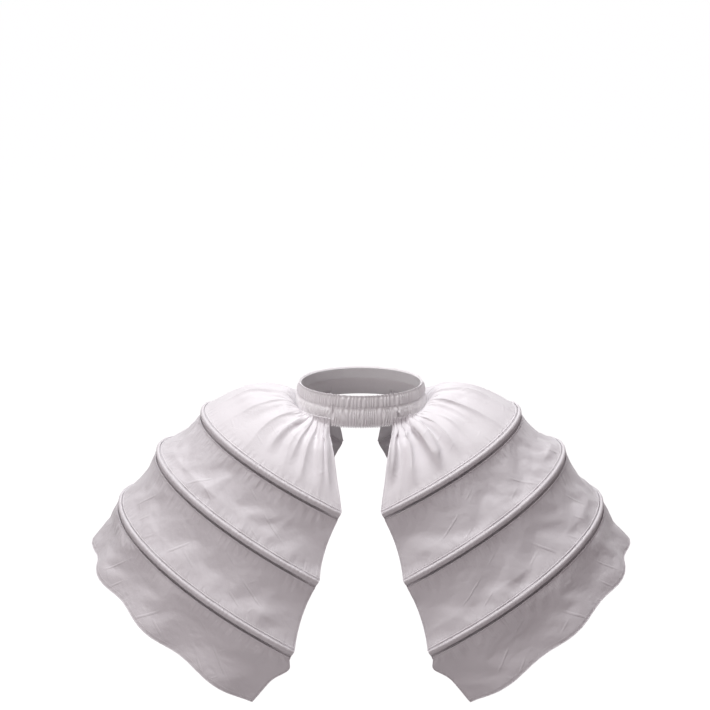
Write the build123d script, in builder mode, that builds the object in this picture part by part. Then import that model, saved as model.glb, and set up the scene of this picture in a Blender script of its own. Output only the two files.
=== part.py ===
from build123d import *

import os
from collections import namedtuple
from math import acos, cos, hypot, pi, radians, sin

# Side-hoop skirt: two gathered wings with sprung hoops, hung on one ruffled elastic waistband.
# Millimetres, +Z up, X across the wearer, the front towards -Y. The origin is the middle of the
# waist opening, level with the waistband's upper edge. Left and right are as seen from the front.

# Waistband
waist_width = 224.0        # outside of the band, side to side
waist_depth = 170.0        # outside of the band, front to back
band_height = 45.0
band_wall = 4.0            # doubled cloth with its ruffles pressed in
ruffle_depth = 1.5         # how far a ruffle stands out of the band
ruffle_count = 40
upper_row_height = 21.0    # ruffles above the row of stitching
stitch_groove = 1.6        # height of the line that the stitching pulls in
band_foot = 9.0            # how far the band hangs below the wings' seam in the open front and back
foot_room = 2.5            # from the foot's ends to the wings' edges
elastic_width = 19.0
elastic_thickness = 1.5
elastic_drop = 1.5         # from the band's upper edge to the elastic

# Wings
front_gap = 102.0          # between the wings, measured along X at the band
cloth = 1.2                # thickness of a panel
hem_waves = 7
hem_wave_depth = 6.0
panel_sag = 8.0            # how far a panel falls in between two hoops

# Gathers of the yoke
fold_count = 10
waist_fold_depth = 1.6     # half height of a fold at the band
crown_fold_depth = 7.0     # half height of a fold where the yoke stands highest
casing_fold_depth = 1.6    # half height of a fold where it runs out at the top casing
side_puff = 36.0           # rise of the yoke over a straight line, at the wearer's side
front_puff = 5.0           # the same rise along the front and back edges
neck_length = 10.0         # cloth that first turns down under the band
neck_dip = 7.0
crown_share = 0.42         # place of the crown between the band and the top casing
fold_depth_shares = (0.8, 1.0, 0.7, 1.1, 0.85, 1.0, 0.75, 1.1, 0.9, 0.7)

# Hoops: the ends' distance from the middle, the fall from the hoop or band above, the slope in
# degrees, the reach outwards along that slope and half the depth from front to back
top_end_out = 36.0
top_fall = 139.0
top_slope_angle = 27.4
top_reach = 279.0
top_half_depth = 170.0

middle_end_out = 74.0
middle_fall = 110.0
middle_slope_angle = 29.7
middle_reach = 336.0
middle_half_depth = 206.0

bottom_end_out = 116.0
bottom_fall = 114.0
bottom_slope_angle = 29.6
bottom_reach = 371.0
bottom_half_depth = 242.0

hem_end_out = 188.0
hem_fall = 94.0
hem_slope_angle = 32.1
hem_reach = 358.0
hem_half_depth = 252.0

# Sprung steel of the hoops and the cloth casings round them
steel_width = 8.0
steel_thickness = 1.0
tip_length = 12.0
tip_thickness = 2.0
tip_inset = 3.0            # from the casing's open end to the tip
fit = 0.3                  # room round a tip in its casing
casing_wall = 1.5          # doubled cloth inside and outside the hoop
casing_edge = 2.4          # stitched edge above and below the hoop
casing_bulge = 1.6         # how far the outside rounds out over the hoop

half_turn_angle = 180.0    # each hoop goes half way round, from front to back

# Derived sizes
steel_start = tip_inset + tip_length
channel_height = steel_width + 2 * fit
channel_depth = tip_thickness + 2 * fit
casing_height = channel_height + 2 * casing_edge
casing_half_depth = channel_depth / 2 + casing_wall
inner_half_width = waist_width / 2 - band_wall
inner_half_depth = waist_depth / 2 - band_wall
seam_half_width = waist_width / 2 - band_wall / 2
seam_half_depth = waist_depth / 2 - band_wall / 2
wing_half_turn = acos(front_gap / 2 / seam_half_width)

HoopLine = namedtuple("HoopLine", "end_out height slope reach half_depth")
top_height = -band_height - top_fall
middle_height = top_height - middle_fall
bottom_height = middle_height - bottom_fall
hem_height = bottom_height - hem_fall
top_line = HoopLine(top_end_out, top_height, top_slope_angle, top_reach, top_half_depth)
middle_line = HoopLine(middle_end_out, middle_height, middle_slope_angle, middle_reach, middle_half_depth)
bottom_line = HoopLine(bottom_end_out, bottom_height, bottom_slope_angle, bottom_reach, bottom_half_depth)
hem_line = HoopLine(hem_end_out, hem_height, hem_slope_angle, hem_reach, hem_half_depth)
hoop_lines = {"top": top_line, "middle": middle_line, "bottom": bottom_line}
sides = {"left": -1, "right": 1}


def save(part, name):
    """Label a finished piece and write its file."""
    part.label = name
    export_step(part, f"parts/{name}.step")


def oval_point(half_width, half_depth, angle, offset):
    """A point on an oval, moved outwards along the oval's own normal."""
    across, along = half_depth * cos(angle), half_width * sin(angle)
    length = hypot(across, along)
    return (
        half_width * cos(angle) + offset * across / length,
        half_depth * sin(angle) + offset * along / length,
    )


def wing_plane(line, side, lift):
    """The sloping plane of a hoop, lifted along its normal; its x axis points outwards."""
    slope = radians(line.slope)
    outwards = Vector(side * cos(slope), 0, sin(slope))
    upwards = Vector(-side * sin(slope), 0, cos(slope))
    middle = Vector(side * line.end_out, 0, line.height)
    return Plane(origin=middle + upwards * lift, x_dir=outwards, z_dir=upwards)


def half_oval(plane, line, outer, inner):
    """The U-shaped strip between two offsets of a hoop's half oval."""
    with BuildSketch(plane) as strip:
        with BuildLine():
            outside = EllipticalCenterArc(
                (0, 0), line.reach + outer, line.half_depth + outer, -half_turn_angle / 2, arc_size=half_turn_angle
            )
            inside = EllipticalCenterArc(
                (0, 0), line.reach + inner, line.half_depth + inner, -half_turn_angle / 2, arc_size=half_turn_angle
            )
            Line(outside @ 0, inside @ 0)
            Line(outside @ 1, inside @ 1)
        make_face()
    return strip.sketch


def wavy_strip(plane, line, wave_depth):
    """A half oval strip whose edge swings in and out in even waves."""
    outside, inside = [], []
    for step in range(2 * hem_waves + 1):
        angle = pi * (step / (2 * hem_waves) - 1 / 2)
        swing = wave_depth if step % 2 else -wave_depth
        outside.append(oval_point(line.reach, line.half_depth, angle, swing))
        inside.append(oval_point(line.reach, line.half_depth, angle, swing - cloth))
    with BuildSketch(plane) as strip:
        with BuildLine():
            Spline(*outside)
            Spline(*inside)
            Line(outside[0], inside[0])
            Line(outside[-1], inside[-1])
        make_face()
    return strip.sketch


def halfway(upper, lower, sag):
    """The line midway between two hoops, fallen in by the sag."""
    mean = HoopLine(*((a + b) / 2 for a, b in zip(upper, lower)))
    return mean._replace(reach=mean.reach - sag, half_depth=mean.half_depth - sag)


def fold_profile(side, step):
    """An upright slice along one fold of the yoke, from the band to the top casing."""
    swing = step / fold_count - 1
    turn = swing * pi / 2
    lean = 1 if step % 2 else -1
    depth = lean * fold_depth_shares[step // 2 % len(fold_depth_shares)]

    seam = Plane.XY.offset(-band_height)
    casing_top = wing_plane(top_line, side, casing_height / 2)
    seam_x, seam_y = oval_point(seam_half_width, seam_half_depth, swing * wing_half_turn, 0)
    start = seam.from_local_coords((side * seam_x, side * seam_y))
    end = casing_top.from_local_coords(oval_point(top_reach, top_half_depth, turn, -cloth / 2))

    run = Vector(end.X - start.X, end.Y - start.Y, 0)
    along = run.normalized()
    slice_plane = Plane(origin=start, x_dir=along, z_dir=(along.Y, -along.X, 0))
    length, fall = run.length, start.Z - end.Z
    chord = hypot(length, fall)
    down = Vector(length, -fall) / chord
    out = Vector(fall, length) / chord

    # Along the casing's upper face the end of the slice has to keep to that face
    normal = casing_top.z_dir
    casing_slope = -along.dot(normal) / normal.Z
    casing_run = Vector(1, casing_slope).normalized()

    puff = front_puff + (side_puff - front_puff) * cos(turn) ** 2
    crown_rise = puff + depth * crown_fold_depth

    def curve(offset):
        first = Vector(depth * waist_fold_depth + offset, 0)
        neck = down * neck_length + out * (offset - neck_dip)
        crown = down * (crown_share * chord) + out * (crown_rise + offset)
        last = Vector(length, -fall) + casing_run * (depth * casing_fold_depth + offset)
        headings = (neck - first, down, down, last - crown)
        return Spline(first, neck, crown, last, tangents=headings)

    with BuildSketch(slice_plane) as profile:
        with BuildLine():
            upper = curve(cloth / 2)
            lower = curve(-cloth / 2)
            Line(upper @ 0, lower @ 0)
            Line(upper @ 1, lower @ 1)
        make_face()
    return profile.sketch


def ruffled_oval(height):
    """Outline of the ruffled band: one ridge and one furrow for each ruffle."""
    points = []
    for step in range(2 * ruffle_count):
        press = 0 if step % 2 else -ruffle_depth
        angle = pi * step / ruffle_count
        points.append(oval_point(waist_width / 2, waist_depth / 2, angle, press))
    with BuildSketch(Plane.XY.offset(height)) as outline:
        with BuildLine():
            Polyline(*points, close=True)
        make_face()
        Ellipse(inner_half_width, inner_half_depth, mode=Mode.SUBTRACT)
    return outline.sketch


def make_waistband():
    lower_row_height = band_height - upper_row_height - stitch_groove
    with BuildPart() as band:
        extrude(ruffled_oval(-upper_row_height), amount=upper_row_height)
        extrude(ruffled_oval(-band_height), amount=lower_row_height)
        with BuildSketch(Plane.XY.offset(-upper_row_height - stitch_groove)):
            Ellipse(waist_width / 2 - 2 * ruffle_depth, waist_depth / 2 - 2 * ruffle_depth)
            Ellipse(inner_half_width, inner_half_depth, mode=Mode.SUBTRACT)
        extrude(amount=stitch_groove)
        foot = ruffled_oval(-band_height - band_foot)
        with BuildSketch(Plane.XY.offset(-band_height - band_foot)):
            add(foot)
            Rectangle(front_gap - 2 * foot_room, 2 * waist_depth, mode=Mode.INTERSECT)
        extrude(amount=band_foot)
    save(band.part, "waistband_casing")


def make_elastic():
    with BuildPart() as elastic:
        with BuildSketch(Plane.XY.offset(-elastic_drop)):
            Ellipse(inner_half_width, inner_half_depth)
            Ellipse(
                inner_half_width - elastic_thickness,
                inner_half_depth - elastic_thickness,
                mode=Mode.SUBTRACT,
            )
        extrude(amount=-elastic_width)
    save(elastic.part, "waist_elastic")


def make_yoke(name, side):
    with BuildPart() as yoke:
        slices = [fold_profile(side, step).face() for step in range(2 * fold_count + 1)]
        loft(slices, ruled=True)
    save(yoke.part, name)


def make_panel(name, side, upper, lower):
    middle = halfway(upper, lower, panel_sag)
    with BuildPart() as panel:
        sections = [
            half_oval(wing_plane(upper, side, -casing_height / 2), upper, 0, -cloth),
            half_oval(wing_plane(middle, side, 0), middle, 0, -cloth),
            half_oval(wing_plane(lower, side, casing_height / 2), lower, 0, -cloth),
        ]
        loft([section.face() for section in sections])
    save(panel.part, name)


def make_hem_panel(name, side):
    with BuildPart() as panel:
        top = wavy_strip(wing_plane(bottom_line, side, -casing_height / 2), bottom_line, 0)
        edge = wavy_strip(wing_plane(hem_line, side, 0), hem_line, hem_wave_depth)
        loft([top.face(), edge.face()], ruled=True)
    save(panel.part, name)


def make_hoop(name, side, line):
    with BuildPart() as hoop:
        with BuildSketch(wing_plane(line, side, -steel_width / 2)):
            add(half_oval(Plane.XY, line, steel_thickness / 2, -steel_thickness / 2))
            with Locations((steel_start / 2, 0)):
                Rectangle(steel_start, 2 * (line.half_depth + steel_thickness), mode=Mode.SUBTRACT)
        extrude(amount=steel_width)
    save(hoop.part, name)


def make_casing(name, side, line):
    swells = {-casing_height / 2: 0, 0: casing_bulge, casing_height / 2: 0}
    with BuildPart() as casing:
        sections = [
            half_oval(wing_plane(line, side, lift), line, casing_half_depth + swell, -casing_half_depth)
            for lift, swell in swells.items()
        ]
        loft([section.face() for section in sections])
        channel_foot = wing_plane(line, side, -channel_height / 2)
        channel = half_oval(channel_foot, line, channel_depth / 2, -channel_depth / 2)
        extrude(channel, amount=channel_height, mode=Mode.SUBTRACT)
    save(casing.part, name)


def make_tips(name, side):
    reach_in = tip_inset + tip_length / 2
    with BuildPart() as tips:
        for line in hoop_lines.values():
            tip_out = line.half_depth * (1 - (reach_in / line.reach) ** 2) ** 0.5
            with BuildSketch(wing_plane(line, side, -steel_width / 2)):
                with Locations((reach_in, tip_out), (reach_in, -tip_out)):
                    Rectangle(tip_length, tip_thickness)
            extrude(amount=steel_width)
    save(tips.part, name)


os.makedirs("parts", exist_ok=True)
make_waistband()
make_elastic()
for side_name, side in sides.items():
    make_yoke(f"yoke_panel_{side_name}", side)
    make_panel(f"second_panel_{side_name}", side, top_line, middle_line)
    make_panel(f"third_panel_{side_name}", side, middle_line, bottom_line)
    make_hem_panel(f"hem_panel_{side_name}", side)
    for place, line in hoop_lines.items():
        make_casing(f"casing_{place}_{side_name}", side, line)
        make_hoop(f"hoop_{place}_{side_name}", side, line)
    make_tips(f"hoop_tips_{side_name}", side)
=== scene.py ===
from collections import namedtuple
from math import acos, cos, pi, radians, sin

import bpy
import numpy as np
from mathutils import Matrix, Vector


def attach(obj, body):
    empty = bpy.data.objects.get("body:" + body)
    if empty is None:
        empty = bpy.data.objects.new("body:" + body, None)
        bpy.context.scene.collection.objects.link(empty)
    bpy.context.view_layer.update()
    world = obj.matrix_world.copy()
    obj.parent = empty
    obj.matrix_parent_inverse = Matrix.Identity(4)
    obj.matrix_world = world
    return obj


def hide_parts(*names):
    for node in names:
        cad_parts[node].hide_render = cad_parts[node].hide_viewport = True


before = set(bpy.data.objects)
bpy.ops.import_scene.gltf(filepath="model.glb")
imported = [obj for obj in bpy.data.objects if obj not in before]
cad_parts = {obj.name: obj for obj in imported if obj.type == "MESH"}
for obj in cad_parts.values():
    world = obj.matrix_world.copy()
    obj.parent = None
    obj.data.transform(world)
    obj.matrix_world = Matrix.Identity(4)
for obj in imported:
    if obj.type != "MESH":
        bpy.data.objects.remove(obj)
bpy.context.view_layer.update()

# Sizes of the skirt in metres, as in the part's source. The front is towards -Y.
Hoop = namedtuple("Hoop", "end_out height slope reach half_depth")
top_hoop = Hoop(0.036, -0.184, radians(27.4), 0.279, 0.170)
middle_hoop = Hoop(0.074, -0.294, radians(29.7), 0.336, 0.206)
bottom_hoop = Hoop(0.116, -0.408, radians(29.6), 0.371, 0.242)
hem_line = Hoop(0.188, -0.502, radians(32.1), 0.358, 0.252)
hoops = {"top": top_hoop, "middle": middle_hoop, "bottom": bottom_hoop}
wings = {"left": -1, "right": 1}

waist_half_width = 0.112
waist_half_depth = 0.085
band_height = 0.045
band_wall = 0.004
band_flare = 0.007
upper_row_height = 0.021
rib_count = 104
front_gap = 0.102
gap_foot_drop = 0.009
gap_half_widths = (0.0525, 0.0540)
wing_half_turn = acos(front_gap / 2 / (waist_half_width - band_wall / 2))
Slit = namedtuple("Slit", "place top foot")
band_slits = (Slit(-0.048, 0.019, 0.037), Slit(0.0625, 0.034, 0.042))
slit_half_width, slit_depth = 0.0017, 0.0050

# Gathers of the yoke, sag of the panels and waves of the hem
fold_count = 10
fold_shares = (0.8, 1.0, 0.7, 1.1, 0.85, 1.0, 0.75, 1.1, 0.9, 0.7)
EdgeFolds = namedtuple("EdgeFolds", "places widths depths")
left_edge_folds = EdgeFolds((0.022, 0.055, 0.095, 0.14, 0.19), (0.007, 0.014), (0.0038, 0.0068))
right_edge_folds = EdgeFolds((0.026, 0.080, 0.142, 0.205), (0.013, 0.020), (0.0090, 0.0140))
side_puff = 0.040
front_puff = 0.005
neck_length = 0.010
neck_dip = 0.007
crown_share = 0.42
neck_place, crown_place = 0.07, 0.45
panel_sag = 0.009
hem_waves = 7
hem_wave_depth = 0.006
edge_draw = 0.01

# Cloth, casings and thread
cloth = 0.0005
casing_half_height = 0.0056
casing_half_depth = 0.0033
casing_lean = radians(18)
casing_stand = 0.0008
upper_seam_out, upper_seam_lift = 0.0002, -0.0110
lower_seam_out, lower_seam_lift = -0.0002, 0.0046
tuck_outs = (-0.0022, -0.0070, -0.0100, -0.0090, -0.0046, -0.0008)
tuck_lifts = (0.0005, -0.0005, -0.0050, -0.0108, -0.0124, -0.0117)
seam_ridge_out, seam_ridge_lift = 0.0002, -0.0110
thread = 0.0004
thread_pitch = 0.0005
stitch_half_length = 0.0013
roll_radius = 0.0009
elastic_rib_pitch = 0.0016
crease_pitch = 0.034

# Points of the grids and paths, and moments of the settling
yoke_grid = (211, 38)
panel_grid = (161, 24)
casing_points = 241
band_points = 1500
settling_moments = 16


# Smooth seeded noise and the curves that everything is hung on

def ease(x, start, end):
    """0 up to start, 1 from end on, and smooth in between."""
    share = np.clip((x - start) / (end - start), 0, 1)
    return share * share * (3 - 2 * share)


def crumple(x, y, seed):
    """Smooth noise from -1 to 1 over the plane, the same on every run."""
    table = np.random.default_rng(seed).uniform(-1, 1, (64, 64))
    x, y = np.broadcast_arrays(np.asarray(x, float), np.asarray(y, float))
    left, low = np.floor(x).astype(int), np.floor(y).astype(int)
    a, b = x - left, y - low
    a, b = a**3 * (a * (6 * a - 15) + 10), b**3 * (b * (6 * b - 15) + 10)
    value = lambda i, j: table[(left + i) % 64, (low + j) % 64]
    bottom = value(0, 0) * (1 - a) + value(1, 0) * a
    top = value(0, 1) * (1 - a) + value(1, 1) * a
    return bottom * (1 - b) + top * b


def rounded_zigzag(phase, crisp):
    """A wave from -1 to 1 with ridges as crisp as asked: 0 is a sine, near 1 a zigzag."""
    return np.arcsin(crisp * np.sin(phase)) / np.arcsin(crisp)


def on_oval(half_width, half_depth, angle, offset):
    """Points of an oval, moved outwards along its own normal."""
    across, along = half_depth * np.cos(angle), half_width * np.sin(angle)
    size = np.hypot(across, along)
    return half_width * np.cos(angle) + offset * across / size, half_depth * np.sin(angle) + offset * along / size


def on_hoop(hoop, side, turn, offset=0.0, lift=0.0):
    """Points on a hoop's half oval, from its front end at -90 degrees to its back end at 90."""
    out, deep = on_oval(hoop.reach, hoop.half_depth, turn, offset)
    x = side * (hoop.end_out + out * cos(hoop.slope) - lift * sin(hoop.slope))
    z = hoop.height + out * sin(hoop.slope) + lift * cos(hoop.slope)
    return np.stack(np.broadcast_arrays(x, deep, z), axis=-1)


def unit(vectors):
    return vectors / np.maximum(np.linalg.norm(vectors, axis=-1, keepdims=True), 1e-12)


def outward(points, side):
    """Normals of a wing's grid, which runs from front to back and then downwards."""
    return unit(-side * np.cross(np.gradient(points, axis=0), np.gradient(points, axis=1)))


def run_lengths(points):
    """Distance along a line of points."""
    steps = np.linalg.norm(np.diff(points, axis=0), axis=-1)
    return np.concatenate([[0], np.cumsum(steps)])


# Materials

def node(tree, kind, inputs=None, **settings):
    """Add a node with its settings, and set or link its inputs."""
    made = tree.nodes.new(kind)
    for key, value in settings.items():
        setattr(made, key, value)
    for key, value in (inputs or {}).items():
        if isinstance(value, bpy.types.NodeSocket):
            tree.links.new(value, made.inputs[key])
        else:
            made.inputs[key].default_value = value
    return made


def maths(tree, operation, first, second=0.0):
    return node(tree, "ShaderNodeMath", {0: first, 1: second}, operation=operation).outputs[0]


def shades(tree, amount, dark, light):
    """Colours between two, by an amount from 0 to 1."""
    ramp = node(tree, "ShaderNodeValToRGB", {"Fac": amount})
    ramp.color_ramp.elements[0].color = (*dark, 1)
    ramp.color_ramp.elements[1].color = (*light, 1)
    return ramp.outputs["Color"]


def new_finish(name):
    finish = bpy.data.materials.new(name)
    finish.use_nodes = True
    finish.node_tree.nodes.clear()
    return finish, finish.node_tree


def end_finish(tree, shader):
    node(tree, "ShaderNodeOutputMaterial", {"Surface": shader.outputs[0]})


def spread(tree, value, start, end, low=0.0, high=1.0, way="LINEAR"):
    """A value between start and end carried over to a range from low to high."""
    inputs = {"Value": value, "From Min": start, "From Max": end, "To Min": low, "To Max": high}
    return node(tree, "ShaderNodeMapRange", inputs, interpolation_type=way).outputs[0]


def grain(tree, place, scale, detail, **settings):
    """Seeded noise from 0 to 1."""
    inputs = {"Vector": place, "Scale": scale, "Detail": detail, **settings}
    return node(tree, "ShaderNodeTexNoise", inputs).outputs["Fac"]


def stripes(tree, place, pitch, way, distortion, **settings):
    """Wavering stripes that far apart."""
    inputs = {"Vector": place, "Scale": 2 * pi / (20 * pitch), "Distortion": distortion, **settings}
    return node(tree, "ShaderNodeTexWave", inputs, bands_direction=way).outputs["Fac"]


def raised(tree, height, strength, distance, over=None):
    """A normal that shows a height, on top of the normal it lies over."""
    inputs = {"Height": height, "Strength": strength, "Distance": distance}
    if over is not None:
        inputs["Normal"] = over
    return node(tree, "ShaderNodeBump", inputs).outputs["Normal"]


def placed(tree, kind):
    return node(tree, "ShaderNodeTexCoord").outputs[kind]


def crossing_creases(tree, place, turn, start):
    """Straight fold lines at one slant, each only a few centimetres long because they show in patches."""
    slant = {"Vector": place, "Location": start, "Rotation": (0.0, 0.0, radians(turn))}
    slanted = node(tree, "ShaderNodeMapping", slant).outputs[0]
    lines = stripes(tree, slanted, crease_pitch, "X", 2.2, **{"Detail": 1.0, "Detail Scale": 0.6})
    fine = spread(tree, lines, 0.955, 1.0, way="SMOOTHSTEP")
    patches = spread(tree, grain(tree, slanted, 21.0, 1.0), 0.57, 0.70)
    return maths(tree, "MULTIPLY", fine, patches)


def taffeta(name, dark, light, crease_strength, gloss, dullness):
    """Plain-woven taffeta: warp and weft, crinkles, creases in patches, puckers beside the seams and a dull shine."""
    finish, tree = new_finish(name)
    place, solid_place = placed(tree, "UV"), placed(tree, "Object")
    weave = maths(tree, "MAXIMUM", *(stripes(tree, place, thread_pitch, way, 0.6, Detail=1.0) for way in "XY"))
    crinkle = grain(tree, solid_place, 150.0, 4.0, Roughness=0.55)
    mottle = grain(tree, solid_place, 11.0, 3.0)
    slants = ((34, (0.0, 0.0, 0.0)), (118, (0.37, 0.21, 0.0)))
    creases = maths(tree, "ADD", *(crossing_creases(tree, place, turn, start) for turn, start in slants))
    beside_seam = node(tree, "ShaderNodeAttribute", attribute_name="near_seam").outputs["Fac"]
    drawn_out = node(tree, "ShaderNodeMapping", {"Vector": place, "Scale": (170.0, 16.0, 1.0)}).outputs[0]
    puckers = maths(tree, "SUBTRACT", grain(tree, drawn_out, 1.0, 2.0), 0.5)
    normal = raised(tree, weave, 0.25, 0.00012)
    normal = raised(tree, crinkle, 0.35, 0.0012, normal)
    normal = raised(tree, creases, crease_strength, 0.0008, normal)
    normal = raised(tree, maths(tree, "MULTIPLY", puckers, beside_seam), 0.7, 0.0030, normal)
    shader = node(
        tree, "ShaderNodeBsdfPrincipled",
        {
            "Base Color": shades(tree, mottle, dark, light),
            "Roughness": spread(tree, crinkle, 0.3, 0.7, dullness, dullness + 0.18),
            "Normal": normal,
            "Specular IOR Level": gloss,
            "Sheen Weight": 0.15,
            "Sheen Roughness": 0.4,
        },
    )
    end_finish(tree, shader)
    return finish


def sewing_thread(name, colour):
    """Twisted white sewing thread."""
    finish, tree = new_finish(name)
    twist = grain(tree, placed(tree, "Object"), 1800.0, 2.0)
    shader = node(
        tree, "ShaderNodeBsdfPrincipled",
        {
            "Base Color": shades(tree, twist, [0.9 * c for c in colour], colour),
            "Roughness": 0.6,
            "Normal": raised(tree, twist, 0.4, 0.0002),
        },
    )
    end_finish(tree, shader)
    return finish


def knitted_elastic(name):
    """White woven elastic with lengthwise ribs."""
    finish, tree = new_finish(name)
    place = placed(tree, "Object")
    ribs = stripes(tree, place, elastic_rib_pitch, "Z", 0.4)
    shader = node(
        tree, "ShaderNodeBsdfPrincipled",
        {
            "Base Color": shades(tree, grain(tree, place, 900.0, 2.0), (0.74, 0.74, 0.75), (0.83, 0.83, 0.83)),
            "Roughness": 0.75,
            "Normal": raised(tree, ribs, 0.6, 0.0004),
        },
    )
    end_finish(tree, shader)
    return finish


def spring_steel(name):
    """Flat sprung steel with a rolled, slightly streaked face."""
    finish, tree = new_finish(name)
    streaks = grain(tree, placed(tree, "Object"), 240.0, 4.0)
    shader = node(
        tree, "ShaderNodeBsdfPrincipled",
        {
            "Base Color": shades(tree, streaks, (0.42, 0.43, 0.45), (0.6, 0.61, 0.63)),
            "Roughness": spread(tree, streaks, 0.0, 1.0, 0.25, 0.5),
            "Metallic": 1.0,
        },
    )
    end_finish(tree, shader)
    return finish


def dipped_plastic(name):
    """White dipped plastic on the steel's ends."""
    finish, tree = new_finish(name)
    dimples = grain(tree, placed(tree, "Object"), 500.0, 2.0)
    shader = node(
        tree, "ShaderNodeBsdfPrincipled",
        {
            "Base Color": shades(tree, dimples, (0.78, 0.78, 0.77), (0.84, 0.84, 0.83)),
            "Roughness": 0.5,
            "Normal": raised(tree, dimples, 0.2, 0.0003),
        },
    )
    end_finish(tree, shader)
    return finish


yoke_cloth = taffeta("yoke taffeta", (0.82, 0.80, 0.82), (0.87, 0.855, 0.87), 0.4, 0.4, 0.42)
# Panel taffeta: the yoke's cloth made darker, as painted shade for the lower tiers that get less light from above.
panel_cloth = taffeta("panel taffeta painted shade", (0.735, 0.715, 0.735), (0.79, 0.772, 0.79), 0.65, 0.4, 0.42)
# Casing taffeta: the yoke's cloth made darker, as painted shade that dulls the lit tops of the casing tubes; the rolled
# edges, seam ridges and topstitching share it.
casing_cloth = taffeta("casing taffeta painted shade", (0.77, 0.755, 0.77), (0.83, 0.815, 0.83), 0.0, 0.2, 0.6)
# Waistband taffeta: the yoke's cloth made lighter, as painted light on the band.
band_cloth_painted_light = taffeta("waistband taffeta painted light", (0.89, 0.88, 0.89), (0.93, 0.92, 0.925), 0.0, 0.4, 0.42)
white_thread = sewing_thread("white sewing thread", (0.88, 0.875, 0.88))


# Pieces made of a grid of points

def new_piece(name, mesh, finish):
    piece = bpy.data.objects.new(name, mesh)
    bpy.context.scene.collection.objects.link(piece)
    if finish is not None:
        mesh.materials.clear()
        mesh.materials.append(finish)
    mesh.polygons.foreach_set("use_smooth", np.ones(len(mesh.polygons), bool))
    return piece


def lay_threads(mesh, along, down):
    """A UV map in metres, so that the weave follows the cloth."""
    corner = np.zeros(len(mesh.loops), int)
    mesh.loops.foreach_get("vertex_index", corner)
    layer = mesh.uv_layers.new(name="threads")
    layer.data.foreach_set("uv", np.stack([along[corner], down[corner]], axis=1).astype(np.float32).ravel())


def cloth_sheet(name, points, side, finish, near_seam):
    """A wing's panel with its thickness, closed round its four edges, and how near each of its rows is to a seam."""
    rows, columns = points.shape[:2]
    inner = points - outward(points, side) * cloth
    place = np.arange(rows * columns).reshape(rows, columns)
    under = place + rows * columns
    quad = lambda a, b, c, d: np.stack([a, b, c, d], axis=-1).reshape(-1, 4)
    faces = [
        quad(place[:-1, :-1], place[:-1, 1:], place[1:, 1:], place[1:, :-1]),
        quad(under[:-1, :-1], under[1:, :-1], under[1:, 1:], under[:-1, 1:]),
        quad(place[0, :-1], under[0, :-1], under[0, 1:], place[0, 1:]),
        quad(place[-1, :-1], place[-1, 1:], under[-1, 1:], under[-1, :-1]),
        quad(place[:-1, 0], place[1:, 0], under[1:, 0], under[:-1, 0]),
        quad(place[:-1, -1], under[:-1, -1], under[1:, -1], place[1:, -1]),
    ]
    faces = np.concatenate(faces)
    if side < 0:
        faces = faces[:, ::-1]
    mesh = bpy.data.meshes.new(name)
    mesh.from_pydata(np.concatenate([points.reshape(-1, 3), inner.reshape(-1, 3)]), [], faces)
    along = np.repeat(run_lengths(points[:, columns // 2]), columns)
    down = np.tile(run_lengths(points[rows // 2]), rows)
    lay_threads(mesh, np.tile(along, 2), np.tile(down, 2))
    near = mesh.attributes.new("near_seam", "FLOAT", "POINT")
    near.data.foreach_set("value", np.tile(near_seam, 2 * rows).astype(np.float32))
    return new_piece(name, mesh, finish)


# Node trees for what follows a path

def start_tree(name, sizes):
    tree = bpy.data.node_groups.new(name, "GeometryNodeTree")
    tree.interface.new_socket("Path", in_out="INPUT", socket_type="NodeSocketGeometry")
    for label in sizes:
        tree.interface.new_socket(label, in_out="INPUT", socket_type="NodeSocketFloat")
    tree.interface.new_socket("Piece", in_out="OUTPUT", socket_type="NodeSocketGeometry")
    given = tree.nodes.new("NodeGroupInput")
    line = node(tree, "GeometryNodeMeshToCurve", {0: given.outputs["Path"]})
    return tree, given, line.outputs[0]


def end_tree(tree, geometry, finish):
    smooth = node(tree, "GeometryNodeSetShadeSmooth", {"Geometry": geometry})
    whole = node(tree, "GeometryNodeRealizeInstances", {"Geometry": smooth.outputs[0]})
    painted = node(tree, "GeometryNodeSetMaterial", {"Geometry": whole.outputs[0], "Material": finish})
    node(tree, "NodeGroupOutput", {"Piece": painted.outputs[0]})
    return tree


def vectors(tree, operation, first, second=None, scale=None):
    inputs = {0: first}
    if second is not None:
        inputs[1] = second
    if scale is not None:
        inputs["Scale"] = scale
    made = node(tree, "ShaderNodeVectorMath", inputs, operation=operation)
    return made.outputs["Value" if operation in ("DOT_PRODUCT", "LENGTH") else "Vector"]


def stored(tree, geometry, name, value, kind, domain="POINT"):
    """Keep a value on the geometry under a name."""
    inputs = {"Geometry": geometry, "Name": name, "Value": value}
    return node(tree, "GeometryNodeStoreNamedAttribute", inputs, data_type=kind, domain=domain).outputs[0]


def recalled(tree, name, kind):
    return node(tree, "GeometryNodeInputNamedAttribute", {"Name": name}, data_type=kind).outputs["Attribute"]


def lumpy(tree, geometry, scale, detail, depth, push=None):
    """Move a piece's points in and out along its normals by seeded noise, after any other push."""
    place = node(tree, "GeometryNodeInputPosition").outputs[0]
    noise = grain(tree, place, scale, detail)
    swell = maths(tree, "MULTIPLY", maths(tree, "SUBTRACT", noise, 0.5), depth)
    swell = vectors(tree, "SCALE", node(tree, "GeometryNodeInputNormal").outputs[0], scale=swell)
    offset = swell if push is None else vectors(tree, "ADD", push, swell)
    return node(tree, "GeometryNodeSetPosition", {"Geometry": geometry, "Offset": offset}).outputs[0]


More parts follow.
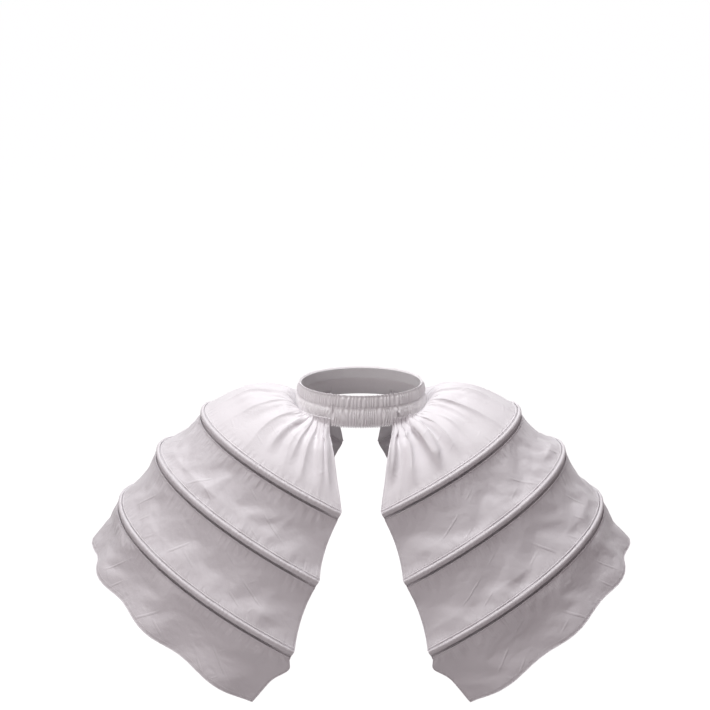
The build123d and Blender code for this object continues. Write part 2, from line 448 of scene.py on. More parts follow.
def casing_tree(finish):
    """A sewn tube round a hoop, pinched flat at its ends and puckered by its seams."""
    sizes = ["Half height", "Half depth", "Lean", "Pinch length", "Pinch share", "Pucker depth", "Pucker scale"]
    tree, given, line = start_tree("hoop casing", sizes)
    out = recalled(tree, "out", "FLOAT_VECTOR")
    turned = node(tree, "GeometryNodeSetCurveNormal", {"Curve": line, "Normal": out}, mode="FREE").outputs[0]
    along = node(tree, "GeometryNodeSplineParameter").outputs["Length"]
    length = node(tree, "GeometryNodeSplineLength").outputs["Length"]
    to_end = maths(tree, "MINIMUM", along, maths(tree, "SUBTRACT", length, along))
    flat = spread(tree, to_end, 0.0, given.outputs["Pinch length"], given.outputs["Pinch share"], 1.0, "SMOOTHSTEP")
    middle = node(tree, "GeometryNodeInputPosition").outputs[0]
    kept = stored(tree, turned, "middle", middle, "FLOAT_VECTOR")
    kept = stored(tree, kept, "flat", flat, "FLOAT")
    kept = stored(tree, kept, "along", along, "FLOAT")
    ring = node(tree, "GeometryNodeCurvePrimitiveCircle", {"Resolution": 16, "Radius": 1.0}).outputs[0]
    oval_size = node(
        tree, "ShaderNodeCombineXYZ", {"X": given.outputs["Half depth"], "Y": given.outputs["Half height"], "Z": 1.0}
    )
    lean = node(tree, "ShaderNodeCombineXYZ", {"X": 0.0, "Y": 0.0, "Z": given.outputs["Lean"]})
    oval = node(
        tree, "GeometryNodeTransform", {"Geometry": ring, "Scale": oval_size.outputs[0], "Rotation": lean.outputs[0]}
    ).outputs[0]
    share_round = node(tree, "GeometryNodeSplineParameter").outputs["Factor"]
    halfway = maths(tree, "ABSOLUTE", maths(tree, "SUBTRACT", share_round, 0.5))
    girth = maths(tree, "MULTIPLY", halfway, maths(tree, "MULTIPLY", given.outputs["Half height"], 5.0))
    oval = stored(tree, oval, "around", girth, "FLOAT")
    tube = node(tree, "GeometryNodeCurveToMesh", {"Curve": kept, "Profile Curve": oval, "Fill Caps": True}).outputs[0]
    place = node(tree, "GeometryNodeInputPosition").outputs[0]
    centre = recalled(tree, "middle", "FLOAT_VECTOR")
    share = recalled(tree, "flat", "FLOAT")
    proud = vectors(tree, "DOT_PRODUCT", vectors(tree, "SUBTRACT", place, centre), out)
    press = vectors(tree, "SCALE", out, scale=maths(tree, "MULTIPLY", proud, maths(tree, "SUBTRACT", share, 1.0)))
    shaped = lumpy(tree, tube, given.outputs["Pucker scale"], 2.0, given.outputs["Pucker depth"], press)
    threads = node(
        tree, "ShaderNodeCombineXYZ", {"X": recalled(tree, "along", "FLOAT"), "Y": recalled(tree, "around", "FLOAT")}
    ).outputs[0]
    woven = stored(tree, shaped, "threads", threads, "FLOAT2", "CORNER")
    return end_tree(tree, stored(tree, woven, "near_seam", 1.0, "FLOAT"), finish)


def roll_tree(finish):
    """A narrow rolled edge along a path."""
    tree, given, line = start_tree("rolled edge", ["Radius", "Unevenness"])
    ring = node(
        tree, "GeometryNodeCurvePrimitiveCircle", {"Resolution": 6, "Radius": given.outputs["Radius"]}
    ).outputs[0]
    tube = node(tree, "GeometryNodeCurveToMesh", {"Curve": line, "Profile Curve": ring, "Fill Caps": True}).outputs[0]
    return end_tree(tree, lumpy(tree, tube, 260.0, 1.0, given.outputs["Unevenness"]), finish)


def stitch_tree(finish):
    """A row of stitches along a path, each a short thread that may lean to one side."""
    tree, given, line = start_tree("row of stitches", ["Pitch", "Half length", "Radius", "Lean"])
    spots = node(tree, "GeometryNodeCurveToPoints", {"Curve": line, "Length": given.outputs["Pitch"]}, mode="LENGTH")
    ball = node(tree, "GeometryNodeMeshUVSphere", {"Segments": 5, "Rings": 3, "Radius": 1.0}).outputs[0]
    size = node(
        tree, "ShaderNodeCombineXYZ",
        {"X": given.outputs["Radius"], "Y": given.outputs["Radius"], "Z": given.outputs["Half length"]},
    )
    one = node(tree, "GeometryNodeTransform", {"Geometry": ball, "Scale": size.outputs[0]}).outputs[0]
    lean = node(tree, "ShaderNodeCombineXYZ", {"X": given.outputs["Lean"], "Y": 0.0, "Z": 0.0}).outputs[0]
    turned = node(
        tree, "FunctionNodeRotateRotation", {"Rotation": spots.outputs["Rotation"], "Rotate By": lean},
        rotation_space="LOCAL",
    ).outputs[0]
    row = node(
        tree, "GeometryNodeInstanceOnPoints", {"Points": spots.outputs["Points"], "Instance": one, "Rotation": turned}
    ).outputs[0]
    return end_tree(tree, row, finish)


def path_mesh(name, lines, out=None):
    """Lines of points as one mesh of edges, with the direction that faces outwards."""
    points = np.concatenate(lines)
    starts = np.cumsum([0] + [len(line) for line in lines[:-1]])
    steps = [start + np.arange(len(line) - 1) for line, start in zip(lines, starts)]
    edges = np.concatenate([np.stack([step, step + 1], axis=1) for step in steps])
    mesh = bpy.data.meshes.new(name)
    mesh.from_pydata(points, edges, [])
    if out is not None:
        facing = mesh.attributes.new("out", "FLOAT_VECTOR", "POINT")
        facing.data.foreach_set("vector", np.asarray(out, np.float32).ravel())
    return mesh


def grown(name, path, tree, sizes):
    """Run a tree along a path and keep what it makes as a plain mesh."""
    holder = bpy.data.objects.new(name + "_path", path)
    bpy.context.scene.collection.objects.link(holder)
    modifier = holder.modifiers.new("grow", "NODES")
    modifier.node_group = tree
    for socket in tree.interface.items_tree:
        if socket.in_out == "INPUT" and socket.name in sizes:
            modifier[socket.identifier] = sizes[socket.name]
    whole = bpy.context.evaluated_depsgraph_get()
    mesh = bpy.data.meshes.new_from_object(holder.evaluated_get(whole))
    mesh.name = name
    bpy.data.objects.remove(holder)
    bpy.data.meshes.remove(path)
    return new_piece(name, mesh, None)


# Casing tubes and rolled edges use the taffeta with painted shade.
casing_tube = casing_tree(casing_cloth)
cloth_roll = roll_tree(casing_cloth)
yoke_roll = roll_tree(yoke_cloth)
stitches = stitch_tree(white_thread)


# The wings' cloth

def between(points, times):
    """A finer copy of rows of points, smooth through the rows that are there."""
    before, after = 2 * points[:1] - points[1:2], 2 * points[-1:] - points[-2:-1]
    padded = np.concatenate([before, points, after])
    a, b, c, d = padded[:-3], padded[1:-2], padded[2:-1], padded[3:]
    parts = []
    for t in np.arange(times) / times:
        parts.append(b + 0.5 * t * (c - a + t * (2 * a - 5 * b + 4 * c - d + t * (3 * (b - c) + d - a))))
    return np.concatenate([np.stack(parts, axis=1).reshape(-1, *points.shape[1:]), points[-1:]])


def refined(points, times):
    return between(between(points, times).swapaxes(0, 1), times).swapaxes(0, 1)


def settled(points, held, growth, stiffness, most):
    """Let a panel buckle and hang as cloth. It is sewn down where held says, and cut a little larger than its place."""
    rows, columns = points.shape[:2]
    place = np.arange(rows * columns).reshape(rows, columns)
    faces = np.stack([place[:-1, :-1], place[:-1, 1:], place[1:, 1:], place[1:, :-1]], axis=-1).reshape(-1, 4)
    mesh = bpy.data.meshes.new("settling cloth")
    mesh.from_pydata(points.reshape(-1, 3), [], faces)
    piece = bpy.data.objects.new("settling cloth", mesh)
    bpy.context.scene.collection.objects.link(piece)
    sewn = piece.vertex_groups.new(name="sewn")
    sewn.add([int(i) for i in place[held]], 1.0, "REPLACE")
    fall = piece.modifiers.new("fall", "CLOTH")
    fall.settings.vertex_group_mass = "sewn"
    fall.settings.quality = 4
    fall.settings.mass = 0.02
    fall.settings.tension_stiffness = fall.settings.compression_stiffness = 20
    fall.settings.shear_stiffness = 7
    fall.settings.bending_stiffness = stiffness
    fall.settings.air_damping = 2
    fall.settings.shrink_min = fall.settings.shrink_max = -growth
    fall.collision_settings.use_collision = False
    fall.point_cache.frame_start, fall.point_cache.frame_end = 1, settling_moments
    for moment in range(1, settling_moments + 1):
        bpy.context.scene.frame_set(moment)
    hung = piece.evaluated_get(bpy.context.evaluated_depsgraph_get())
    flat = np.zeros(rows * columns * 3, np.float32)
    hung.data.vertices.foreach_get("co", flat)
    bpy.data.objects.remove(piece)
    bpy.data.meshes.remove(mesh)
    bpy.context.scene.frame_set(1)
    moved = flat.reshape(points.shape).astype(float) - points
    far = np.linalg.norm(moved, axis=-1, keepdims=True)
    return points + moved * np.minimum(1, most / np.maximum(far, 1e-9))


def bend(first, last, first_heading, last_heading, share):
    """A smooth curve between two points that leaves and arrives along the headings."""
    span = np.linalg.norm(last - first, axis=-1, keepdims=True)
    a, b = unit(first_heading) * span, unit(last_heading) * span
    t = share
    return (
        first * (2 * t**3 - 3 * t**2 + 1) + a * (t**3 - 2 * t**2 + t) + last * (3 * t**2 - 2 * t**3) + b * (t**3 - t**2)
    )


def yoke_shape(side, swing, share):
    """The yoke without its folds, from the band's seam to the top casing."""
    turn, waist_turn = swing * pi / 2, swing * wing_half_turn
    seam_x, seam_y = on_oval(waist_half_width, waist_half_depth, waist_turn, band_flare - 0.001)
    start = np.stack([side * seam_x, seam_y, np.full_like(seam_x, -band_height + 0.003)], axis=-1)
    end = on_hoop(top_hoop, side, turn, lower_seam_out, lower_seam_lift)
    across = end - start
    fall = -across[..., 2:]
    flat = across * (1, 1, 0)
    length = np.linalg.norm(flat, axis=-1, keepdims=True)
    chord = np.hypot(length, fall)
    up = np.array([0.0, 0.0, 1.0])
    down = across / chord
    out = (flat / length * fall + up * length) / chord
    beside = (np.cos(turn) ** 2)[..., None]
    puff = front_puff + (side_puff - front_puff) * beside
    low_neck = start + down * neck_length - out * neck_dip
    high_neck = start + flat / length * 0.009 + up * 0.016
    neck = low_neck * (1 - beside) + high_neck * beside
    rise = down * (1 - beside) + (0.6 * flat / length + 0.8 * up) * beside
    crown = start + across * crown_share + out * puff
    rows = []
    for s in share:
        if s < neck_place:
            rows.append(bend(start, neck, neck - start, rise, s / neck_place))
        elif s < crown_place:
            rows.append(bend(neck, crown, rise, down, (s - neck_place) / (crown_place - neck_place)))
        else:
            rows.append(bend(crown, end, down, end - crown, (s - crown_place) / (1 - crown_place)))
    return np.stack(rows, axis=1)


def yoke_points(side, seed):
    """The gathered yoke: main folds from band to casing, smaller ones that die out, and fine gathers at the seam."""
    swing = np.linspace(-1, 1, yoke_grid[0])
    share = np.linspace(0, 1, yoke_grid[1]) ** 1.3
    base = yoke_shape(side, swing, share)
    u, v = np.meshgrid((swing + 1) / 2, share, indexing="ij")
    place = u + 0.012 * crumple(u * 9, v * 2.2, seed) * ease(v, 0.05, 0.5)
    step = np.clip(place * fold_count if side > 0 else (1 - place) * fold_count, 0, fold_count - 1e-6)
    depth = np.interp(v, (0, 0.1, 0.42, 0.8, 1), (0.0010, 0.0026, 0.0046, 0.0024, 0.0003))
    ridge = 1 - 2 * np.abs(np.cos(pi * fold_count * place)) ** 0.8
    fold = ridge * depth * np.interp(step, np.arange(fold_count) + 0.5, fold_shares) * (0.8 if side > 0 else 0.55)
    split = rounded_zigzag(2 * pi * 23 * place + 1.8 * crumple(u * 12, v * 1.4, seed + 1), 0.9)
    split *= 0.65 + 0.5 * crumple(u * 17, v * 2, seed + 2)
    fold += split * np.interp(v, (0, 0.06, 0.25, 0.6, 0.85), (0.0006, 0.0014, 0.0014, 0.0006, 0.0))
    fold += 0.0012 * crumple(u * 11, v * 4, seed + 4) * np.sin(pi * np.clip(v, 0, 1))
    start = base + outward(base, side) * fold[..., None]
    held = np.broadcast_to((share < 0.02) | (share > 0.999), u.shape)
    hung = settled(start, held, 0.004, 18, 0.004)
    hung = start + (hung - start) * (1 - ease(v, 0.62, 0.9))[..., None]
    points = refined(hung, 2)
    u, v = np.meshgrid(np.linspace(0, 1, len(points)), between(share, 2), indexing="ij")
    folds = right_edge_folds if side > 0 else left_edge_folds
    points = points + outward(points, side) * edge_folds(u, v, seed, folds)[..., None]
    fine = rounded_zigzag(2 * pi * 52 * u + 1.5 * crumple(u * 40, v * 6, seed + 3), 0.8)
    gather = fine * np.interp(v, (0, 0.03, 0.08, 0.22), (0.0007, 0.0011, 0.0008, 0.0))
    pucker = rounded_zigzag(2 * pi * 60 * u + 3 * crumple(u * 50, v * 3, seed + 5), 0.8)
    gather += 0.0003 * pucker * ease(v, 0.86, 0.97) * (1 - ease(v, 0.975, 1.0))
    return points + outward(points, side) * gather[..., None]


def edge_folds(u, v, seed, folds):
    """Narrow folds that fall from the band beside a yoke's open edges and run out above the casing."""
    draw = np.random.default_rng(seed + 8)
    height = np.zeros_like(u)
    for middle in folds.places:
        for place in (middle, 1 - middle):
            width, depth = draw.uniform(*folds.widths), draw.uniform(*folds.depths)
            bend_by, run_out = draw.uniform(-0.012, 0.012), draw.uniform(0.8, 1.0)
            near = np.abs(u - place - bend_by * np.sin(2.6 * v)) / width
            height += depth * np.exp(-(near**1.5)) * ease(v, 0.03, 0.25) * (1 - ease(v, run_out - 0.3, run_out))
    return height


def between_hoops(upper, lower, side, turn, share, sag):
    """A plain panel between two hoops: it falls in between them, and its open edges draw back a little."""
    v = share[None, :]
    hang = 4 * v * (1 - v)
    drawn = turn[:, None] * (1 - edge_draw * hang)
    top = on_hoop(upper, side, drawn, upper_seam_out, upper_seam_lift)
    foot = on_hoop(lower, side, drawn, lower_seam_out, lower_seam_lift)
    base = top * (1 - v[..., None]) + foot * v[..., None]
    return base - outward(base, side) * (sag * hang)[..., None]


def tucked_under(hoop, side, points):
    """Carry a panel's upper edge in below the casing and up behind it, in a tuck that is deep at front and back."""
    turn = np.linspace(-pi / 2, pi / 2, len(points))
    from_ends = 0.3 + 0.7 * ease(pi / 2 - np.abs(turn), 0.0, 0.16)
    from_side = 0.3 + 0.7 * ease(np.abs(turn), 0.3, 1.05)
    full = from_ends * from_side
    tuck = [on_hoop(hoop, side, turn, out * full, lift) for out, lift in zip(tuck_outs, tuck_lifts)]
    return np.concatenate([np.stack(tuck, axis=1), points], axis=1)


def tents(u, v, seed, count):
    """Flat-sided peaks of cloth that stand above a panel's lower seam."""
    draw = np.random.default_rng(seed)
    height = np.zeros_like(u)
    for _ in range(count):
        middle, half_width, rise = draw.uniform(0.03, 0.97), draw.uniform(0.025, 0.07), draw.uniform(0.3, 0.6)
        lean, depth = draw.uniform(-0.08, 0.08), draw.uniform(0.0014, 0.0034)
        away = np.abs(1 - v - 0.26) / rise
        tent = np.clip(1 - np.abs(u - middle - lean * (1 - v)) / half_width - away, 0, 1)
        height += depth * tent * ease(1 - v, 0.0, 0.24)
    return height


def seam_puckers(u, v, seed):
    """Short puckers that run away from a panel's upper and lower seams."""
    top = rounded_zigzag(2 * pi * (44 * u + 1.6 * v) + 3.0 * crumple(u * 40, v * 3, seed + 4), 0.85)
    foot = rounded_zigzag(2 * pi * (52 * u - 1.2 * v) + 3.0 * crumple(u * 44, v * 3, seed + 5), 0.85)
    patchy = np.clip(0.5 + 0.8 * crumple(u * 22, v * 2, seed + 6), 0, 1.2)
    return patchy * (
        0.0008 * top * ease(v, 0.01, 0.06) * (1 - ease(v, 0.12, 0.40))
        + 0.0005 * foot * ease(v, 0.70, 0.92) * (1 - ease(v, 0.94, 1.0))
    )


def crumpled(points, side, seed):
    """A panel's rough shape with a first rumple in it, and which of its points are sewn down."""
    rows, columns = points.shape[:2]
    u, v = np.meshgrid(np.linspace(0, 1, rows), np.linspace(0, 1, columns), indexing="ij")
    held_in = np.sin(pi * v) ** 0.7
    rumple = 0.0012 * crumple(u * 13 + v * 1.5, v * 2.2, seed + 1) + 0.0008 * crumple(u * 27 - v * 3, v * 3.5, seed + 2)
    rough = points + outward(points, side) * (held_in * rumple)[..., None]
    sewn = np.zeros(u.shape, bool)
    sewn[:, [0, -1]] = True
    return rough, sewn


def panel_points(side, upper, lower, growth, seed):
    """A panel between two hoops: hung as cloth, then given what is too fine to simulate."""
    turn, share = np.linspace(-pi / 2, pi / 2, panel_grid[0]), np.linspace(0, 1, panel_grid[1])
    rough, sewn = crumpled(between_hoops(upper, lower, side, turn, share, panel_sag * 0.8), side, seed)
    points = refined(settled(rough, sewn, growth, 30, 0.003), 2)
    u, v = np.meshgrid(np.linspace(0, 1, points.shape[0]), np.linspace(0, 1, points.shape[1]), indexing="ij")
    points = points + outward(points, side) * (seam_puckers(u, v, seed) + tents(u, v, seed + 7, 12))[..., None]
    return tucked_under(upper, side, points)


def hem_points(side, growth, seed):
    """The flounce below the bottom hoop, with its waving rolled edge and its corners drawn in."""
    turn, share = np.linspace(-pi / 2, pi / 2, panel_grid[0]), np.linspace(0, 1, panel_grid[1])
    top = on_hoop(bottom_hoop, side, turn, upper_seam_out, upper_seam_lift)
    u, v = np.meshgrid(np.linspace(0, 1, len(turn)), share, indexing="ij")
    along = u[:, 0]
    swing = -np.cos(2 * pi * hem_waves * along) * hem_wave_depth * (1 + 0.5 * crumple(along * 8, 0.5, seed + 9))
    drop = 0.003 * np.cos(2 * pi * hem_waves * along + 0.8)
    edge = on_hoop(hem_line, side, turn, swing, 0.0) + np.stack([0 * drop, 0 * drop, drop], axis=-1)
    base = top[:, None] * (1 - v[..., None]) + edge[:, None] * v[..., None]
    corner = np.minimum(u, 1 - u)
    drawn = 0.014 * np.exp(-(((v - 0.26) / 0.16) ** 2)) * (1 - ease(corner, 0.0, 0.05)) * ease(v, 0, 0.1)
    base[..., 0] -= side * drawn
    base = base - outward(base, side) * (0.004 * np.sin(pi * v) ** 2)[..., None]
    rough, sewn = crumpled(base, side, seed)
    sewn[::40, -1] = True
    points = refined(settled(rough, sewn, growth, 30, 0.003), 2)
    u, v = np.meshgrid(np.linspace(0, 1, points.shape[0]), np.linspace(0, 1, points.shape[1]), indexing="ij")
    puckers = seam_puckers(u, v * 0.9, seed)
    return tucked_under(bottom_hoop, side, points + outward(points, side) * puckers[..., None])


def row_above(points, distance):
    """The line on a panel that lies that far above its lower edge."""
    line = []
    for column in points:
        runs = run_lengths(column)
        line.append([np.interp(runs[-1] - distance, runs, column[:, k]) for k in range(3)])
    return np.array(line)


def row_beside(points, distance):
    """The line on a panel that lies that far from its front edge."""
    return row_above(points[::-1].swapaxes(0, 1), distance)


def finish_piece(piece, slot, *nodes):
    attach(piece, "root")
    if nodes:
        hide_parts(*nodes)
    return piece


def sew_casing(place, hoop, side_name, side):
    """The tube round a hoop with its topstitched rows, and the ridge of the seam below it."""
    name = f"casing_{place}_{side_name}"
    turn = np.linspace(-pi / 2, pi / 2, casing_points)
    middle = on_hoop(hoop, side, turn, casing_stand)
    out = unit(on_hoop(hoop, side, turn, 0.01) - on_hoop(hoop, side, turn, 0.0))
    sizes = {
        "Half height": casing_half_height, "Half depth": casing_half_depth, "Lean": side * casing_lean,
        "Pinch length": 0.035, "Pinch share": 0.8, "Pucker depth": 0.0010, "Pucker scale": 110.0,
    }
    tube = grown("sewn_" + name, path_mesh(name, [middle], out), casing_tube, sizes)
    finish_piece(tube, "casing_cloth", name)
    below = on_hoop(hoop, side, turn, seam_ridge_out, seam_ridge_lift)
    ridge = grown(f"seam_below_{name}", path_mesh(name, [below]), cloth_roll, {"Radius": 0.0012, "Unevenness": 0.0008})
    finish_piece(ridge, "casing_cloth")
    rows = []
    for around in (radians(28), radians(62)):
        out, lift = casing_half_depth * cos(around), casing_half_height * sin(around)
        leant_out = out * cos(casing_lean) - lift * sin(casing_lean)
        leant_lift = lift * cos(casing_lean) + out * sin(casing_lean)
        rows.append(on_hoop(hoop, side, turn[6:-6], casing_stand + leant_out, leant_lift))
    tucks = grown(f"topstitched_{name}", path_mesh(name, rows), cloth_roll, {"Radius": 0.0008, "Unevenness": 0.0005})
    finish_piece(tucks, "casing_cloth")
    return [tube, ridge, tucks]


def make_wing(side_name, side):
    """A wing's four panels with their edges and stitches, and its three casings."""
    seed = 10 if side > 0 else 60
    panels = {
        "yoke": yoke_points(side, seed),
        "second": panel_points(side, top_hoop, middle_hoop, 0.003, seed + 10),
        "third": panel_points(side, middle_hoop, bottom_hoop, 0.002, seed + 20),
        "hem": hem_points(side, 0.002, seed + 30),
    }
    casings = {"yoke": "top", "second": "middle", "third": "bottom"}
    hung_from = {"second": "top", "third": "middle", "hem": "bottom"}
    tubes = {place: sew_casing(place, hoop, side_name, side) for place, hoop in hoops.items()}
    for panel, points in panels.items():
        # The panels take the taffeta with painted shade; the yoke takes the plain taffeta.
        finish, slot = (yoke_cloth, "yoke_cloth") if panel == "yoke" else (panel_cloth, "panel_cloth")
        name = f"{panel}_panel_{side_name}"
        fall = run_lengths(points[len(points) // 2])
        near_seam = 0 * fall
        if panel in casings:
            near_seam += 1 - ease(fall[-1] - fall, 0.004, 0.026)
        if panel in hung_from:
            near_seam += 1 - ease(fall - fall[len(tuck_outs)], 0.004, 0.032)
        sheet = finish_piece(cloth_sheet("draped_" + name, points, side, finish, near_seam), slot, name)
        rolled = [points[0], points[-1]]
        if panel == "yoke":
            rolled.append(points[:, 0])
        if panel == "hem":
            rolled.append(points[:, -1])
        else:
            rolled.append(row_above(points, 0.0036))
        roll = grown(
            f"rolled_edge_{name}", path_mesh(name, [line[::2] for line in rolled]),
            yoke_roll if panel == "yoke" else cloth_roll, {"Radius": roll_radius, "Unevenness": 0.0006},
        )
        finish_piece(roll, slot)
        proud = points + outward(points, side) * 0.0002
        rows = [
            row_above(proud, 0.006 if panel == "hem" else 0.0066),
            row_beside(proud, 0.005),
            row_beside(proud[::-1], 0.005),
        ]
        seam = grown(
            f"stitching_{name}", path_mesh(name, rows), stitches,
            {"Pitch": 0.0032, "Half length": stitch_half_length, "Radius": thread * 0.75, "Lean": 0.0},
        )
        finish_piece(seam, slot)


# The waistband

def band_press(angle, height, seed):
    """How far the band's outside stands in or out: two rows of ruching, pulled in by the stitching between them."""
    x = np.cos(angle) * waist_half_width
    y = np.sin(angle)
    row_top, row_foot = upper_row_height, upper_row_height + 0.0016
    upper = np.clip(height / row_top, 0, 1)
    lower = np.clip((height - row_foot) / (band_height - row_foot), 0, 1)
    around = angle / (2 * pi)
    drift = 2.4 * np.sin(2 * pi * 9 * around + seed) + 1.7 * np.sin(2 * pi * 23 * around + 1.3)
    phase = 2 * pi * rib_count * around + drift
    first = 0.5 - 0.5 * np.cos(phase + np.sin(2 * pi * 31 * around) * upper)
    second = 0.5 - 0.5 * np.cos(1.35 * phase + 1.1 + 2.2 * crumple(around * 90, lower * 4, 5))
    strong = 0.75 + 0.25 * np.sin(2 * pi * 13 * around + 0.6) * np.cos(2 * pi * 7 * around)
    strong = strong * (1 - 0.5 * (y < 0) * (1 - ease(x, -0.055, -0.015)))
    in_upper = ease(height, 0.0015, 0.005) * (1 - ease(height, row_top - 0.002, row_top))
    in_lower = ease(height, row_foot, row_foot + 0.003) * (1 - 0.6 * ease(lower, 0.8, 1.0))
    press = -0.0034 + 0.0012 * np.sin(pi * upper) * (height < row_foot)
    press = press + 0.0016 * np.sin(pi * np.clip(lower, 0, 0.8)) * (height >= row_foot)
    press = press + strong * (0.0042 * first**0.8 * in_upper + 0.0032 * second**0.8 * in_lower)
    press = press + band_flare * ease(height, 0, band_height)
    edge = 1 - ease(height, 0.0012, 0.0034)
    press = press + edge * (0.0016 + 0.0004 * np.sin(phase))
    for slit in band_slits:
        inside = ease(height, slit.top, slit.top + 0.001) * (1 - ease(height, slit.foot - 0.001, slit.foot))
        press = press - (y < 0) * slit_depth * inside * np.exp(-(((x - slit.place) / slit_half_width) ** 4))
    return press


def make_waistband():
    """The band as one closed ring of cloth, with the stitching between its rows and its serged foot."""
    angle = np.linspace(0, 2 * pi, band_points, endpoint=False)
    gap = 1 - ease(np.abs(np.cos(angle) * waist_half_width), *gap_half_widths)
    foot = band_height + gap_foot_drop * gap
    upper, lower = np.linspace(0, upper_row_height, 14), np.linspace(upper_row_height + 0.0008, band_height, 13)
    heights = np.concatenate([upper, lower])
    columns = []
    for share in heights:
        h = np.full_like(angle, share)
        lower_share = (share - upper_row_height) / (band_height - upper_row_height)
        drop = (lower_share if share > upper_row_height + 0.002 else 0) * (foot - band_height)
        columns.append((band_press(angle, h, 0.4), -(h + drop)))
    inner = -band_wall + 0.0002
    columns.append((np.full_like(angle, band_flare - 0.0026), -foot - 0.0006))
    columns.append((np.full_like(angle, band_flare + inner), -foot + 0.0005))
    for share in np.linspace(0.85, 0.08, 7):
        flare = band_flare * ease(share, 0.5, 1.0)
        columns.append((np.full_like(angle, flare + inner), np.full_like(angle, -band_height * share)))
    columns.append((np.full_like(angle, inner), np.full_like(angle, -0.0012)))
    columns.append((np.full_like(angle, -0.0030), np.full_like(angle, 0.0006)))
    columns.append((np.full_like(angle, -0.0018), np.full_like(angle, 0.0010)))
    rings = []
    for offset, z in columns:
        x, y = on_oval(waist_half_width, waist_half_depth, angle, offset)
        rings.append(np.stack([x, y, z], axis=-1))
    points = np.stack(rings, axis=1)
    rows, around = points.shape[1], points.shape[0]
    place = np.arange(around * rows).reshape(around, rows)
    beside, below = np.roll(place, -1, axis=0), np.roll(place, -1, axis=1)
    corner = np.roll(beside, -1, axis=1)
    faces = np.stack([place, below, corner, beside], axis=-1).reshape(-1, 4)
    mesh = bpy.data.meshes.new("ruched_waistband")
    mesh.from_pydata(points.reshape(-1, 3), [], faces)
    along = np.repeat(angle * 0.1, rows)
    down = np.tile(np.linspace(0, 0.1, rows), around)
    lay_threads(mesh, along, down)
    # The band uses the taffeta with painted light.
    band = finish_piece(new_piece("ruched_waistband", mesh, band_cloth_painted_light), "waistband_cloth", "waistband_casing")

    ring = np.append(angle[::4], 2 * pi)
    press = band_press(ring, np.full_like(ring, upper_row_height + 0.0008), 0.4) + 0.0003
    x, y = on_oval(waist_half_width, waist_half_depth, ring, press)
    row = np.stack([x, y, np.full_like(x, -upper_row_height - 0.0008)], axis=-1)
    seam = grown(
        "stitching_waistband", path_mesh("waistband", [row]), stitches,
        {"Pitch": 0.0030, "Half length": stitch_half_length, "Radius": thread * 0.8, "Lean": 0.0},
    )
    finish_piece(seam, "waistband_cloth")
    lines = []
    for middle in (-pi / 2, pi / 2):
        half = pi / 2 - acos(0.0475 / waist_half_width)
        part = np.linspace(middle - half, middle + half, 90)
        x, y = on_oval(waist_half_width, waist_half_depth, part, band_flare - 0.0002)
        lines.append(np.stack([x, y, np.full_like(x, -band_height - 0.0088)], axis=-1))
    serging = grown(
        "serged_waistband_edge", path_mesh("waistband", lines), stitches,
        {"Pitch": 0.0042, "Half length": 0.0030, "Radius": 0.0011, "Lean": 0.8},
    )
    finish_piece(serging, "waistband_cloth")


make_waistband()
for side_name, side in wings.items():
    make_wing(side_name, side)

# Nodes that keep their own shape
elastic = knitted_elastic("woven elastic")
steel = spring_steel("sprung steel")
plastic = dipped_plastic("dipped plastic tips")
for name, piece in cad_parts.items():
    finish = {"waist": elastic, "hoop": plastic if "tips" in name else steel}.get(name.split("_")[0])
    if finish is not None and not name.startswith("waistband"):
        piece.data.materials.clear()
        piece.data.materials.append(finish)

# Floor, light and camera
floor_level = -1.0
floor_reach = 30
camera_tilt = radians(90 - 17.51)


def backdrop_rays(tree):
    """1 for the rays that show the background, straight or in a gloss, and 0 for those that light the skirt."""
    rays = node(tree, "ShaderNodeLightPath")
    return maths(tree, "MAXIMUM", rays.outputs["Is Camera Ray"], rays.outputs["Is Glossy Ray"])


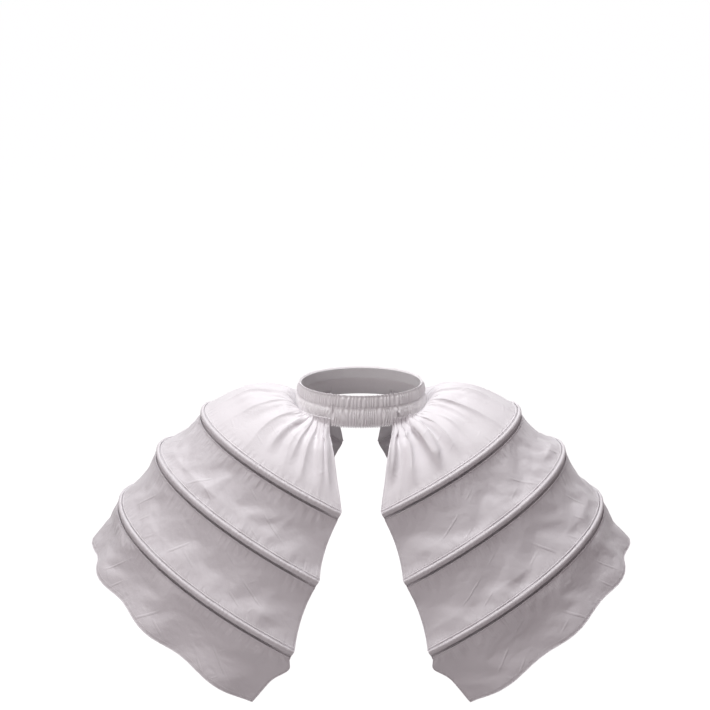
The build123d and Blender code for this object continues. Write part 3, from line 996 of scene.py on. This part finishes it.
def pale_floor():
    """A plain floor that keeps the skirt's shadow and grows lighter away from it."""
    finish, tree = new_finish("pale floor")
    away = vectors(tree, "LENGTH", placed(tree, "Object"))
    strength = maths(tree, "MULTIPLY", backdrop_rays(tree), spread(tree, away, 1.1, 1.8, 0.74, 0.9))
    glow = node(tree, "ShaderNodeEmission", {"Color": (1, 1, 1, 1), "Strength": strength})
    plain = node(tree, "ShaderNodeBsdfDiffuse", {"Color": (0.45, 0.45, 0.45, 1)})
    both = node(tree, "ShaderNodeAddShader", {0: plain.outputs[0], 1: glow.outputs[0]})
    end_finish(tree, both)
    return finish


floor_mesh = bpy.data.meshes.new("floor")
corners = [(x * floor_reach, y * floor_reach, floor_level) for x, y in ((-1, -1), (1, -1), (1, 1), (-1, 1))]
floor_mesh.from_pydata(corners, [], [(0, 1, 2, 3)])
floor = new_piece("floor", floor_mesh, pale_floor())

world = bpy.data.worlds.new("studio")
bpy.context.scene.world = world
world.use_nodes = True
world.node_tree.nodes.clear()
shown = backdrop_rays(world.node_tree)
strength = spread(world.node_tree, shown, 0.0, 1.0, 0.26, 1.0)
tint = shades(world.node_tree, shown, (1.0, 0.83, 0.87), (1, 1, 1))
sky = node(world.node_tree, "ShaderNodeBackground", {"Color": tint, "Strength": strength})
node(world.node_tree, "ShaderNodeOutputWorld", {"Surface": sky.outputs[0]})


def soft_lamp(name, place, aim, size, power, colour):
    """A square lamp that faces its aim."""
    lamp = bpy.data.lights.new(name, "AREA")
    lamp.size, lamp.energy, lamp.color = size, power, colour
    holder = bpy.data.objects.new(name, lamp)
    bpy.context.scene.collection.objects.link(holder)
    holder.location = place
    holder.rotation_euler = (Vector(place) - Vector(aim)).to_track_quat("Z", "Y").to_euler()


soft_lamp("overhead lamp", (-0.1, 0.0, 1.9), (0, 0, -0.2), 0.8, 34, (0.98, 0.985, 1.0))
soft_lamp("front lamp", (-1.8, -2.4, 0.9), (0, 0, -0.25), 1.2, 18, (1.0, 0.945, 0.95))

camera = bpy.data.objects.new("camera", bpy.data.cameras.new("camera"))
bpy.context.scene.collection.objects.link(camera)
camera.location = (-0.0106, -2.3, 0.774)
camera.rotation_euler = (camera_tilt, 0, 0)
camera.data.sensor_width = 36
camera.data.lens = 68.97
bpy.context.scene.camera = camera
bpy.context.scene.view_settings.view_transform = "Standard"
